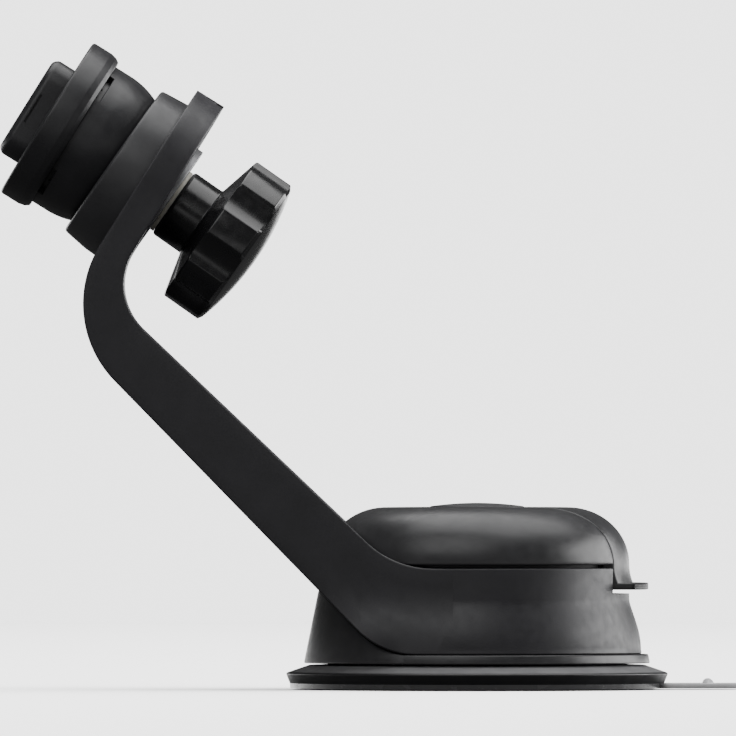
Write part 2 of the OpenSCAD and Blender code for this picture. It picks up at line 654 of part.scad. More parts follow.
module cleat_screws() color("silver") forward() at_cleat_screws() screw(cleat_screw);

// Knob
knob_cavity = knob_r - scallop_d - 2.2;
module knob_washer() color("#c9c4b4") backward()
    ring(neck_r - 0.5, bolt_r + 0.1, washer_back + knob_gap, kwasher_t);
module knob() color("#1d1d20") backward() difference() {
    rotate_extrude() polygon([
        [0, neck_z], [neck_r - 0.7, neck_z], [neck_r, neck_z + 0.7], [neck_r, rim_z - 2.4],
        [knob_r - 0.5, rim_z - 0.1], [knob_r, rim_z + 0.4], [knob_r, rim_end], [knob_r - 1.1, cap_z],
        [knob_cavity, cap_z],
        [knob_cavity, rim_z + 2.6], [insert_r + 2.5, rim_z + 2.6], [insert_r + 2.5, insert_z + insert_l],
        [0, insert_z + insert_l]]);
    for (i = [0:scallops - 1]) rotate(scallop_turn + i * 360 / scallops)
        translate([knob_r - scallop_d + scallop_r, 0, rim_z - 6]) cylinder(r = scallop_r, h = big / 4);
    bore(bolt_r + 0.3, 0, big);
    bore(insert_r, insert_z, big);
}
module knob_insert() color("goldenrod") backward() difference() {
    union() {
        bore(insert_r - 0.4, insert_z, insert_z + insert_l);
        for (i = [0:3])
            bore(insert_r, insert_z + i * insert_l / 4 + 0.6, insert_z + (i + 1) * insert_l / 4 - 0.6);
    }
    bore(bolt_r + run_gap, 0, big);
}
cap_r = knob_r - scallop_d + 0.1;
module knob_cap() color("#202023") backward() rotate_extrude() polygon(concat(
    low_cap(cap_r, cap_h, cap_z, 12),
    [[knob_cavity - 0.05, cap_z], [knob_cavity - 0.05, cap_z - 2], [0, cap_z - 2]]));

gel_pad();
suction_cup();
lower_housing();
cam_plate();
arm();
arm_cover();
cover_screws();
dome_cover();
base_screws();
socket();
socket_screws();
clamp_bolt();
thrust_washer();
stem();
lever_pin();
pin_clips();
stem_spring();
lever();
lever_pad();
friction_ring();
clamp_dome();
ball_shell();
cleat();
cleat_screws();
collar_spring();
collar();
knob_washer();
knob();
knob_insert();
knob_cap();
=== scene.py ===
"""Looks of the car phone mount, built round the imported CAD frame. Lengths are in millimetres until a mesh is made."""
import json
import math

import bmesh
import bpy
from mathutils import Matrix, Vector


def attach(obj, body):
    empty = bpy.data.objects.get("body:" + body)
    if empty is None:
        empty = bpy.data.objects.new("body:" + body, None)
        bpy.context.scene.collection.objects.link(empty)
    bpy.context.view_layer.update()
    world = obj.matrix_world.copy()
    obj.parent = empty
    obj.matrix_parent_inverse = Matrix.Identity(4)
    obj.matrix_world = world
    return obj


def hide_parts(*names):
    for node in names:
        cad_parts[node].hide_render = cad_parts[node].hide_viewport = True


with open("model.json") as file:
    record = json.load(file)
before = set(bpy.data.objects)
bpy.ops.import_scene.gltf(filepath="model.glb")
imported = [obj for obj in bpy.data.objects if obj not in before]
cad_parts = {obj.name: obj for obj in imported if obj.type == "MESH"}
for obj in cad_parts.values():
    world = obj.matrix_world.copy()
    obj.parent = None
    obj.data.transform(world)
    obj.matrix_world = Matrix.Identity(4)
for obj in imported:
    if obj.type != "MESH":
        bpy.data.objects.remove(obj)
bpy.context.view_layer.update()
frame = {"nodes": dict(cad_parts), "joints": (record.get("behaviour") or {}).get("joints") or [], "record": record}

MM = 0.001
joints = {j["name"]: j for j in frame["joints"]}
nodes = frame["nodes"]


# ---------------------------------------------------------------- frames
def point(values):
    return Vector(values) / MM


def axis_place(origin, direction):
    """A frame whose Z runs along direction and whose Y stays the object's Y."""
    z = Vector(direction).normalized()
    y = Vector((0, 1, 0))
    x = y.cross(z)
    turn = Matrix((x, y, z)).transposed().to_4x4()
    return Matrix.Translation(origin) @ turn


BALL = point(joints["ball_pitch"]["pos_m"])
PIN = point(joints["lever_lift"]["pos_m"])
KNOB_DIR = Vector(joints["knob_turn"]["axis"])
HEAD_DIR = Vector(joints["head_swivel"]["axis"])
BACK = axis_place(BALL, KNOB_DIR)
AHEAD = axis_place(BALL, HEAD_DIR)
UPRIGHT = Matrix.Identity(4)
HEAD_SLOPE = math.atan2(HEAD_DIR.z, -HEAD_DIR.x)


# ---------------------------------------------------------------- mesh helpers
def smooth_by_angle(obj, degrees=32):
    """Smooth shading with edges sharper than the limit kept crisp."""
    mesh = obj.data
    mesh.polygons.foreach_set("use_smooth", [True] * len(mesh.polygons))
    bm = bmesh.new()
    bm.from_mesh(mesh)
    limit = math.radians(degrees)
    for edge in bm.edges:
        if len(edge.link_faces) == 2:
            edge.smooth = edge.calc_face_angle(0) < limit
    bm.to_mesh(mesh)
    bm.free()


def make(name, verts, faces, place=UPRIGHT):
    """A mesh object from points in millimetres, with outward normals."""
    mesh = bpy.data.meshes.new(name)
    mesh.from_pydata([tuple((place @ Vector(v)) * MM) for v in verts], [], faces)
    bm = bmesh.new()
    bm.from_mesh(mesh)
    bmesh.ops.remove_doubles(bm, verts=bm.verts, dist=1e-7)
    bmesh.ops.recalc_face_normals(bm, faces=bm.faces)
    bm.to_mesh(mesh)
    bm.free()
    obj = bpy.data.objects.new(name, mesh)
    bpy.context.scene.collection.objects.link(obj)
    return obj


def loft(name, loops, place=UPRIGHT, closed=True, caps=True):
    """Joins a row of loops of equal length into a skin, with a cap at each end."""
    n = len(loops[0])
    verts = [p for loop in loops for p in loop]
    faces = []
    for i in range(len(loops) - 1):
        for j in range(n if closed else n - 1):
            k = (j + 1) % n
            faces.append((i * n + j, i * n + k, (i + 1) * n + k, (i + 1) * n + j))
    if caps:
        faces.append(tuple(range(n)))
        faces.append(tuple(range((len(loops) - 1) * n, len(loops) * n)))
    return make(name, verts, faces, place)


def rounded(points, radius=0.3, steps=4):
    """Rounds the corners of a closed outline. A point may carry its own radius as a third number; 0 keeps it sharp."""
    out = []
    count = len(points)
    for i, corner in enumerate(points):
        here = Vector(corner[:2])
        size = corner[2] if len(corner) > 2 else radius
        before = Vector(points[i - 1][:2]) - here
        after = Vector(points[(i + 1) % count][:2]) - here
        if size <= 0 or here.x < 1e-6 or before.length < 1e-6 or after.length < 1e-6:
            out.append(tuple(here))
            continue
        half = before.angle(after) / 2
        if half > math.radians(86) or half < math.radians(3):
            out.append(tuple(here))
            continue
        cut = min(size / math.tan(half), before.length * 0.48, after.length * 0.48)
        size = cut * math.tan(half)
        middle = here + (before.normalized() + after.normalized()).normalized() * size / math.sin(half)
        start = here + before.normalized() * cut - middle
        end = here + after.normalized() * cut - middle
        turn = start.angle_signed(end)
        for s in range(steps + 1):
            a = -turn * s / steps
            out.append((middle.x + start.x * math.cos(a) - start.y * math.sin(a),
                        middle.y + start.x * math.sin(a) + start.y * math.cos(a)))
    return out


def lathe(name, outline, place=UPRIGHT, segments=144, angles=None):
    """Turns an outline of (radius, height) about Z. The outline may be a function of the angle in degrees."""
    angles = angles or [360 * i / segments for i in range(segments)]
    loops = []
    for a in angles:
        profile = outline(a) if callable(outline) else outline
        c, s = math.cos(math.radians(a)), math.sin(math.radians(a))
        loops.append([(r * c, r * s, z) for r, z in profile])
    loops.append(loops[0])
    return loft(name, loops, place, closed=True, caps=False)


def arc(centre, radius, start, end, steps=12):
    return [(centre[0] + radius * math.cos(math.radians(start + (end - start) * i / steps)),
             centre[1] + radius * math.sin(math.radians(start + (end - start) * i / steps)))
            for i in range(steps + 1)]


def box_piece(name, low, high, place=UPRIGHT):
    xs, ys, zs = zip(low, high)
    verts = [(x, y, z) for x in xs for y in ys for z in zs]
    faces = [(0, 1, 3, 2), (4, 6, 7, 5), (0, 4, 5, 1), (2, 3, 7, 6), (0, 2, 6, 4), (1, 5, 7, 3)]
    return make(name, verts, faces, place)


def rod(name, radius, low, high, place=UPRIGHT, segments=96):
    return lathe(name, [(0, low), (radius, low), (radius, high), (0, high)], place, segments)


def combine(target, tool, how):
    """Adds or cuts a tool body, then drops the tool."""
    step = target.modifiers.new(how, "BOOLEAN")
    step.operation = how
    step.solver = "EXACT"
    step.object = tool
    apply_modifiers(target)
    bpy.data.objects.remove(tool)


def apply_modifiers(obj):
    graph = bpy.context.evaluated_depsgraph_get()
    mesh = bpy.data.meshes.new_from_object(obj.evaluated_get(graph))
    old = obj.data
    obj.modifiers.clear()
    obj.data = mesh
    bpy.data.meshes.remove(old)


def soften(obj, width=0.25, degrees=35, steps=2):
    """Rounds every edge sharper than the limit."""
    bm = bmesh.new()
    bm.from_mesh(obj.data)
    bmesh.ops.remove_doubles(bm, verts=bm.verts, dist=2e-6)
    bmesh.ops.dissolve_limit(bm, angle_limit=math.radians(0.6), verts=bm.verts, edges=bm.edges)
    bm.to_mesh(obj.data)
    bm.free()
    bevel = obj.modifiers.new("soften", "BEVEL")
    bevel.width = width * MM
    bevel.segments = steps
    bevel.limit_method = "ANGLE"
    bevel.angle_limit = math.radians(degrees)
    bevel.harden_normals = False
    apply_modifiers(obj)


# ---------------------------------------------------------------- materials
def material(name, colour, roughness, metallic=0.0, coat=0.0, grain=0.0, grain_size=0.25, mottle=0.15,
             rough_spread=0.06, specular=0.5, build=None):
    """A moulded or machined surface: colour mottle, uneven gloss and a fine grain, all from 3-D noise."""
    mat = bpy.data.materials.new(name)
    mat.use_nodes = True
    tree = mat.node_tree
    add, link = tree.nodes.new, tree.links.new
    shader = tree.nodes["Principled BSDF"]
    shader.inputs["Metallic"].default_value = metallic
    shader.inputs["Specular IOR Level"].default_value = specular
    shader.inputs["Coat Weight"].default_value = coat
    shader.inputs["Coat Roughness"].default_value = 0.12
    place = add("ShaderNodeTexCoord").outputs["Object"]

    def noise(size, detail=3.0, stretch=(1, 1, 1)):
        mapping = add("ShaderNodeMapping")
        mapping.inputs["Scale"].default_value = stretch
        link(place, mapping.inputs["Vector"])
        node = add("ShaderNodeTexNoise")
        node.inputs["Scale"].default_value = 1 / (size * MM)
        node.inputs["Detail"].default_value = detail
        link(mapping.outputs["Vector"], node.inputs["Vector"])
        return node.outputs["Fac"]

    def spread(value, low, high):
        node = add("ShaderNodeMapRange")
        node.inputs["From Min"].default_value = 0.3
        node.inputs["From Max"].default_value = 0.7
        node.inputs["To Min"].default_value = low
        node.inputs["To Max"].default_value = high
        link(value, node.inputs["Value"])
        return node.outputs["Result"]

    ramp = add("ShaderNodeMix")
    ramp.data_type = "RGBA"
    ramp.inputs["A"].default_value = (*[c * (1 - mottle) for c in colour], 1)
    ramp.inputs["B"].default_value = (*[min(1, c * (1 + mottle)) for c in colour], 1)
    link(spread(noise(9.0, 5.0), 0, 1), ramp.inputs["Factor"])
    link(ramp.outputs["Result"], shader.inputs["Base Color"])
    link(spread(noise(2.2, 6.0), roughness - rough_spread, roughness + rough_spread), shader.inputs["Roughness"])
    if grain:
        bump = add("ShaderNodeBump")
        bump.inputs["Strength"].default_value = grain
        bump.inputs["Distance"].default_value = 0.03 * MM
        link(noise(grain_size, 2.0), bump.inputs["Height"])
        link(bump.outputs["Normal"], shader.inputs["Normal"])
    if build:
        build(tree, shader, noise, spread)
    return mat


def painted_lit_top(tree, shader, noise, spread):
    """Black rubber whose sloping top is painted lighter grey: painted light standing in for the lamp light that falls
    on the top.
    """
    add, link = tree.nodes.new, tree.links.new
    height = add("ShaderNodeSeparateXYZ")
    link(add("ShaderNodeTexCoord").outputs["Object"], height.inputs["Vector"])
    # painted light: above this height the base colour blends to a grey tone that stands in for the light on the cup's
    # top
    lit_top_share = add("ShaderNodeMapRange")
    lit_top_share.inputs["From Min"].default_value = 3.45 * MM
    lit_top_share.inputs["From Max"].default_value = 3.70 * MM
    link(height.outputs["Z"], lit_top_share.inputs["Value"])
    cloud = add("ShaderNodeMix")
    cloud.data_type = "RGBA"
    cloud.inputs["A"].default_value = (0.14, 0.14, 0.145, 1)
    cloud.inputs["B"].default_value = (0.19, 0.19, 0.195, 1)
    link(spread(noise(6.0, 4.0), 0, 1), cloud.inputs["Factor"])
    # painted light: the grey, lit-looking tone of the cup's top, mixed in over the black rubber
    tone = add("ShaderNodeMix")
    tone.data_type = "RGBA"
    link(shader.inputs["Base Color"].links[0].from_socket, tone.inputs["A"])
    link(cloud.outputs["Result"], tone.inputs["B"])
    link(lit_top_share.outputs["Result"], tone.inputs["Factor"])
    link(tone.outputs["Result"], shader.inputs["Base Color"])


def matte_tab(tree, shader, noise, spread):
    """Moulded plastic that is rubbed matte on the lever's finger tab."""
    add, link = tree.nodes.new, tree.links.new
    place = add("ShaderNodeSeparateXYZ")
    link(add("ShaderNodeTexCoord").outputs["Object"], place.inputs["Vector"])
    shares = []
    for axis, low, high in (("X", 33.6, 34.4), ("Z", 20.0, 20.6)):
        share = add("ShaderNodeMapRange")
        share.inputs["From Min"].default_value = low * MM
        share.inputs["From Max"].default_value = high * MM
        link(place.outputs[axis], share.inputs["Value"])
        shares.append(share.outputs["Result"])
    both = add("ShaderNodeMath")
    both.operation = "MULTIPLY"
    link(shares[0], both.inputs[0])
    link(shares[1], both.inputs[1])
    level = add("ShaderNodeMapRange")
    level.inputs["To Min"].default_value = 0.5
    level.inputs["To Max"].default_value = 0.06
    link(both.outputs["Value"], level.inputs["Value"])
    link(level.outputs["Result"], shader.inputs["Specular IOR Level"])


def clear_gel(tree, shader, noise, spread):
    """Clear grey gel: dark where the black cup backs it, pale on the release tab."""
    add, link = tree.nodes.new, tree.links.new
    shader.inputs["IOR"].default_value = 1.45
    place = add("ShaderNodeTexCoord").outputs["Object"]
    flat = add("ShaderNodeVectorMath")
    flat.operation = "MULTIPLY"
    flat.inputs[1].default_value = (1, 1, 0)
    link(place, flat.inputs[0])
    radius = add("ShaderNodeVectorMath")
    radius.operation = "LENGTH"
    link(flat.outputs["Vector"], radius.inputs[0])
    past_cup = add("ShaderNodeMapRange")
    past_cup.interpolation_type = "SMOOTHSTEP"
    past_cup.inputs["From Min"].default_value = 41.0 * MM
    past_cup.inputs["From Max"].default_value = 43.5 * MM
    link(radius.outputs["Value"], past_cup.inputs["Value"])
    cloud = add("ShaderNodeMix")
    cloud.data_type = "RGBA"
    cloud.inputs["A"].default_value = (0.62, 0.62, 0.63, 1)
    cloud.inputs["B"].default_value = (0.74, 0.74, 0.75, 1)
    link(spread(noise(5.0, 4.0), 0, 1), cloud.inputs["Factor"])
    tone = add("ShaderNodeMix")
    tone.data_type = "RGBA"
    tone.inputs["A"].default_value = (0.06, 0.06, 0.062, 1)
    link(cloud.outputs["Result"], tone.inputs["B"])
    link(past_cup.outputs["Result"], tone.inputs["Factor"])
    link(tone.outputs["Result"], shader.inputs["Base Color"])


MATS = {
    "housing": material("housing", (0.030, 0.030, 0.032), 0.36, grain=0.25, grain_size=0.16, build=matte_tab),
    "arm_nylon": material("arm_nylon", (0.024, 0.0235, 0.027), 0.44, grain=0.4, grain_size=0.2),
    "socket_nylon": material("socket_nylon", (0.042, 0.042, 0.045), 0.38, grain=0.25, grain_size=0.18),
    "ball_nylon": material("ball_nylon", (0.020, 0.020, 0.022), 0.36, grain=0.12, grain_size=0.14),
    "head_nylon": material("head_nylon", (0.020, 0.020, 0.022), 0.37, grain=0.25, grain_size=0.16),
    "knob_gloss": material("knob_gloss", (0.010, 0.010, 0.011), 0.24, coat=0.15, grain=0.06, grain_size=0.3),
    "cup_rubber": material("cup_rubber", (0.009, 0.009, 0.010), 0.42, grain=0.1, grain_size=0.5, build=painted_lit_top),
    "soft_pad": material("soft_pad", (0.03, 0.03, 0.032), 0.55, grain=0.4, grain_size=0.12),
    "gel": material("gel", (0.62, 0.62, 0.62), 0.24, grain=0.1, grain_size=1.5, mottle=0.06, build=clear_gel),
    "steel": material("steel", (0.50, 0.50, 0.50), 0.28, metallic=1.0, grain=0.2, grain_size=0.08),
    "grey_washer": material("grey_washer", (0.30, 0.30, 0.31), 0.42, metallic=0.6, grain=0.3, grain_size=0.1),
    "dark_screw": material("dark_screw", (0.08, 0.08, 0.085), 0.34, metallic=0.9, grain=0.2, grain_size=0.08),
    "spring_steel": material("spring_steel", (0.42, 0.42, 0.43), 0.24, metallic=1.0, grain=0.15, grain_size=0.06),
    "zinc": material("zinc", (0.45, 0.45, 0.46), 0.46, metallic=0.95, grain=0.5, grain_size=0.12),
    "brass": material("brass", (0.72, 0.52, 0.24), 0.26, metallic=1.0, grain=0.15, grain_size=0.08),
    "low_friction": material("low_friction", (0.70, 0.67, 0.58), 0.42, grain=0.1, grain_size=0.3, mottle=0.05),
}
SLOT_OF = {s["node"]: s["material_slot"] for s in frame["record"]["subparts"]}
BODY_OF = {n: b for b, members in frame["record"]["behaviour"]["bodies"].items() for n in members}


def finish_piece(obj, node, angle=32):
    """Gives a rebuilt piece its node's body, slot and material."""
    smooth_by_angle(obj, angle)
    obj.data.materials.clear()
    obj.data.materials.append(MATS[SLOT_OF[node]])
    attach(obj, BODY_OF[node])
    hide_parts(node)
    return obj


for node, obj in nodes.items():
    obj.data.materials.clear()
    obj.data.materials.append(MATS[SLOT_OF[node]])


# ---------------------------------------------------------------- suction base
CUP_R = 42.0
RIM_H = 3.5
SEAL_R = 41.1
DISH_R = 33.1
GEL_T = 1.1
GEL_RISE = 1.8
CUP_Z = 5.3
HOUSING_Z = 5.5
FLOOR_Z = 7.5
LIP_R = 38.1
DRUM_R = 33.5
DRUM_IN = 30.9
DRUM_BOT = 7.6
DRUM_TOP = 26.5
DOME_Z = 27.2
DOME_TOP = 39.8
FLAT_R = 20.0
SHELL_T = 2.4
NOTCH_Z = 20.8
TAB_Z = 21.7
TAB_T = 1.5
LEVER_W = 30.0
LEVER_GAP = 0.35
LEVER_END_R = 19.5
STEM_R = 5.0
HUB_R = 13.0
HUB_TOP = 8.2
FLANGE_R = 9.0
FLANGE_Z = 4.95
TOWER_TOP = 14.5
CAM_Z = 16.0
BOSS_AT = 25.0
BOSS_ANGLES = (50, 130, 230, 310)


def dish(r):
    return 0 if r >= DISH_R else GEL_RISE * (1 - (r / DISH_R) ** 2) ** 2


def dish_curve(up, steps=20):
    return [(DISH_R * i / steps, dish(DISH_R * i / steps) + up) for i in range(steps + 1)]


def build_gel():
    outline = dish_curve(0) + [(SEAL_R, 0), (SEAL_R + 0.1, GEL_T)] + dish_curve(GEL_T)[::-1]
    pad = lathe("gel_layer", outline, segments=192)
    reach, width, back = 62.0, 18.0, 39.5
    outer = [(back, -width / 2), (reach - width / 2, -width / 2)]
    outer += [(x, y) for x, y in arc((reach - width / 2, 0), width / 2, -90, 90, 24)]
    outer += [(back, width / 2)]

    def level(inset, z):
        return [(x - inset * (1 if x > reach - width / 2 else 0) * (x - reach + width / 2) / (width / 2),
                 y * (1 - inset / (width / 2)), z) for x, y in outer]

    edge = 0.3
    tab = loft("release_tab", [level(edge, 0), level(0.08, 0.1), level(0, edge), level(0, GEL_T - edge),
                               level(0.08, GEL_T - 0.1), level(edge, GEL_T)])
    bead_x, bead_r, bead_half = 50.8, 1.25, 7.0
    rings = []
    for i in range(17):
        t = -1 + 2 * i / 16
        swell = bead_r * math.sqrt(max(0.02, 1 - max(0, (abs(t) - 0.86) / 0.14) ** 2))
        rings.append([(bead_x + swell * math.cos(a), bead_half * t, 0.9 + swell * math.sin(a))
                      for a in [2 * math.pi * k / 24 for k in range(24)]])
    bead = loft("bead", rings)
    under = box_piece("under", (40, -20, -5), (70, 20, 0.02))
    combine(bead, under, "DIFFERENCE")
    combine(tab, bead, "UNION")
    combine(pad, tab, "UNION")
    pad.name = "gel_layer"
    return finish_piece(pad, "gel_pad", 28)


def build_cup():
    outline = [(r, z, 0) for r, z in dish_curve(GEL_T)] + [
        (SEAL_R + 0.1, GEL_T, 0.1), (CUP_R - 0.1, RIM_H - 0.6, 0.2), (CUP_R, RIM_H - 0.25, 0.25),
        (CUP_R - 0.35, RIM_H, 0.2), (LIP_R - 1.2, CUP_Z - 0.15, 1.5),
        (DRUM_R - 3.5, CUP_Z, 0.8), (HUB_R + 0.8, CUP_Z, 0.5), (HUB_R, CUP_Z + 0.8, 0.4), (HUB_R, HUB_TOP, 0.4),
        (STEM_R + 0.15, HUB_TOP, 0.3), (STEM_R + 0.15, 7.0, 0), (FLANGE_R + 0.1, 7.0, 0),
        (FLANGE_R + 0.1, FLANGE_Z - 0.05, 0), (0, FLANGE_Z - 0.05, 0)]
    return finish_piece(lathe("cup", rounded(outline), segments=192), "suction_cup", 40)


# The arm's outline in its side view
UNDER_SLOPE, OVER_SLOPE = 45.7, 43.6
ARM_LOW = DRUM_BOT
UNDER_AT, OVER_AT = Vector((-36.9, 23.8)), Vector((-29.3, 37.0))
FOOT_UNDER_R, FOOT_OVER_R, ELBOW_UNDER_R, ELBOW_OVER_R = 18.0, 21.0, 24.2, 13.6
PLATE_FRONT, PLATE_BACK, PLATE_R = 14.1, 21.0, 22.6
HEAD_DEG = math.degrees(HEAD_SLOPE)
PLATE_BACKWARD = Vector((math.cos(HEAD_SLOPE), -math.sin(HEAD_SLOPE)))
PLATE_UP = Vector((math.sin(HEAD_SLOPE), math.cos(HEAD_SLOPE)))
BALL_XZ = Vector((BALL.x, BALL.z))


def line_normal(slope):
    return Vector((math.sin(math.radians(slope)), math.cos(math.radians(slope))))


def foot_centre(at, slope, radius, level):
    down = Vector((math.cos(math.radians(slope)), -math.sin(math.radians(slope))))
    t = (at.y + radius * math.cos(math.radians(slope)) - level - radius) / math.sin(math.radians(slope))
    return at + radius * line_normal(slope) + t * down


def elbow_centre(at, slope, radius, depth):
    start = BALL_XZ + (depth + radius) * PLATE_BACKWARD
    normal = line_normal(slope)
    gap = (start - at - radius * normal).dot(normal)
    return start - PLATE_UP * gap / PLATE_UP.dot(normal)


FOOT_UNDER = foot_centre(UNDER_AT, UNDER_SLOPE, FOOT_UNDER_R, ARM_LOW)
FOOT_OVER = foot_centre(OVER_AT, OVER_SLOPE, FOOT_OVER_R, DRUM_TOP)
ELBOW_UNDER = elbow_centre(UNDER_AT, UNDER_SLOPE, ELBOW_UNDER_R, PLATE_FRONT)
ELBOW_OVER = elbow_centre(OVER_AT, OVER_SLOPE, ELBOW_OVER_R, PLATE_BACK)


# ---------------------------------------------------------------- lower housing
LIP_LEAN, CONE_H = 3.2, 16.0


def cone_r(z):
    return LIP_R - LIP_LEAN * (z - HOUSING_Z) / CONE_H


def under_height(x):
    """Height of the arm's underside over the base."""
    start = FOOT_UNDER.x - FOOT_UNDER_R * math.sin(math.radians(UNDER_SLOPE))
    if x >= FOOT_UNDER.x:
        return ARM_LOW
    if x > start:
        return FOOT_UNDER.y - math.sqrt(FOOT_UNDER_R ** 2 - (x - FOOT_UNDER.x) ** 2)
    return UNDER_AT.y + (UNDER_AT.x - x) * math.tan(math.radians(UNDER_SLOPE))


def cone_top(angle):
    z = FLOOR_Z
    for _ in range(12):
        z = min(HOUSING_Z + CONE_H, under_height(cone_r(z) * math.cos(math.radians(angle))) - 0.25)
    return max(z, FLOOR_Z)


def build_lower_housing():
    lip = rounded([(HUB_R + 1, HOUSING_Z, 0.2), (LIP_R - 0.03, HOUSING_Z, 0.25), (cone_r(FLOOR_Z) - 0.03, FLOOR_Z, 0.35),
                   (HUB_R + 1, FLOOR_Z, 0)])
    housing = lathe("lower_housing_shell", lip, segments=192)
    spigot = lathe("spigot", [(DRUM_IN - 2.6, FLOOR_Z - 0.5), (DRUM_IN - 0.1, FLOOR_Z - 0.5),
                              (DRUM_IN - 0.1, FLOOR_Z + 6), (DRUM_IN - 2.6, FLOOR_Z + 6)], segments=192)
    tower = lathe("tower", rounded([
        (HUB_R + 1, FLOOR_Z - 1, 0), (18, FLOOR_Z - 1, 0), (18, TOWER_TOP + 1, 0.3), (16.1, TOWER_TOP + 1, 0.2),
        (16.1, TOWER_TOP, 0), (9.5, TOWER_TOP, 0.2), (9.5, HUB_TOP + 0.8, 0), (HUB_R + 1, HUB_TOP + 0.8, 0)]))
    first = 100
    while cone_top(first) < FLOOR_Z + 0.02:
        first += 0.5
    loops = []
    count = 96
    for i in range(count + 1):
        a = first + (360 - 2 * first) * i / count
        top = max(cone_top(a), FLOOR_Z + 0.05)
        low, inner, edge = HOUSING_Z + 0.3, DRUM_IN - 0.3, min(0.3, (top - HOUSING_Z) * 0.2)
        outline = [(inner, low), (cone_r(low), low), (cone_r(top - edge), top - edge),
                   (cone_r(top) - edge * 0.3, top - edge * 0.3), (cone_r(top) - edge, top), (inner, top)]
        c, s = math.cos(math.radians(a)), math.sin(math.radians(a))
        loops.append([(r * c, r * s, z) for r, z in outline])
    cone = loft("cone", loops)
    for extra in (spigot, tower, cone):
        combine(housing, extra, "UNION")
    return finish_piece(housing, "lower_housing", 30)


# ---------------------------------------------------------------- arm
PLAN_OUT, ARM_HALF = 70.0, 22.3
PLAN_LEAN = math.asin((DRUM_R - ARM_HALF) / PLAN_OUT)
TANGENT_X = -DRUM_R * math.sin(PLAN_LEAN)
FLARE, FLARE_LOW, FLARE_H = 2.6, 8.4, 11.2
DRUM_WALL = [(36.3, DRUM_BOT, 0.4)] + [
    (DRUM_R + FLARE * (1 - (i / 16) ** 2) ** 1.5, FLARE_LOW + FLARE_H * i / 16, 0) for i in range(17)]
EDGE_R = 0.4


def drum_radius(z):
    """Radius of the drum's wall, which flares towards its foot."""
    wall = [(r, h) for r, h, _ in DRUM_WALL]
    if z <= wall[0][1]:
        return wall[0][0]
    for (r0, z0), (r1, z1) in zip(wall, wall[1:]):
        if z <= z1:
            return r0 + (r1 - r0) * (z - z0) / (z1 - z0)
    return DRUM_R


def edge_drop(distance, radius=EDGE_R):
    if distance >= radius:
        return 0.0
    return radius - math.sqrt(max(0.0, radius ** 2 - (radius - distance) ** 2))


def arm_half_width(x, z):
    end = -PLAN_OUT - ARM_HALF * math.sin(PLAN_LEAN)
    x = max(x, end)
    return (drum_radius(z) + x * math.sin(PLAN_LEAN)) / math.cos(PLAN_LEAN)


def path_under():
    foot = arc(FOOT_UNDER, FOOT_UNDER_R, 270, 270 - UNDER_SLOPE, 16)
    elbow = arc(ELBOW_UNDER, ELBOW_UNDER_R, 270 - UNDER_SLOPE, 180 - HEAD_DEG, 28)
    return foot, elbow


def path_over():
    foot = arc(FOOT_OVER, FOOT_OVER_R, 270, 270 - OVER_SLOPE, 16)
    elbow = arc(ELBOW_OVER, ELBOW_OVER_R, 270 - OVER_SLOPE, 180 - HEAD_DEG, 28)
    return foot, elbow


def between(a, b, t):
    return (a[0] + (b[0] - a[0]) * t, a[1] + (b[1] - a[1]) * t)


def arm_stations():
    """Pairs of points across the arm, from the base to the plate's top, with the plate's own height at each."""
    foot_u, elbow_u = path_under()
    foot_o, elbow_o = path_over()
    pairs = [(between((TANGENT_X, ARM_LOW), foot_u[0], i / 4), between((TANGENT_X, DRUM_TOP), foot_o[0], i / 4))
             for i in range(4)]
    pairs += list(zip(foot_u, foot_o))
    pairs += [(between(foot_u[-1], elbow_u[0], i / 14), between(foot_o[-1], elbow_o[0], i / 14))
              for i in range(1, 14)]
    pairs += list(zip(elbow_u, elbow_o))
    stations = [(Vector(u), Vector(o), None) for u, o in pairs]
    low = (Vector(elbow_u[-1]) - BALL_XZ).dot(PLATE_UP)
    low_o = (Vector(elbow_o[-1]) - BALL_XZ).dot(PLATE_UP)
    plate_u = BALL_XZ + PLATE_FRONT * PLATE_BACKWARD
    plate_o = BALL_XZ + PLATE_BACK * PLATE_BACKWARD
    for i in range(1, 7):
        stations.append((plate_u + PLATE_UP * low * (1 - i / 6), plate_o + PLATE_UP * low_o * (1 - i / 6),
                         low * (1 - i / 6)))
    for i in range(1, 25):
        height = PLATE_R * math.sin(math.radians(90 * i / 24)) * 0.9995
        stations.append((plate_u + PLATE_UP * height, plate_o + PLATE_UP * height, height))
    return stations


def across(thickness):
    """Depths through the arm where its side is sampled: close together at the rounded edges."""
    near = [EDGE_R * (1 - math.cos(math.radians(90 * i / 6))) for i in range(7)]
    middle = [EDGE_R + (thickness - 2 * EDGE_R) * i / 5 for i in range(1, 5)]
    return near + middle + [thickness - d for d in near[::-1]]


def side_at(where, depth, thickness, height):
    drop = edge_drop(min(depth, thickness - depth))
    plain = arm_half_width(where.x, where.y) - drop
    if height is None:
        return plain
    rim = PLATE_R - 0.7 * depth / thickness - drop
    if height >= 0:
        return math.sqrt(max(0.0, rim ** 2 - height ** 2)) * 0.985
    blend = max(0.0, min(1.0, 1 + height / 14.0))
    blend = blend * blend * (3 - 2 * blend)
    return plain * (1 - blend) + rim * 0.985 * blend


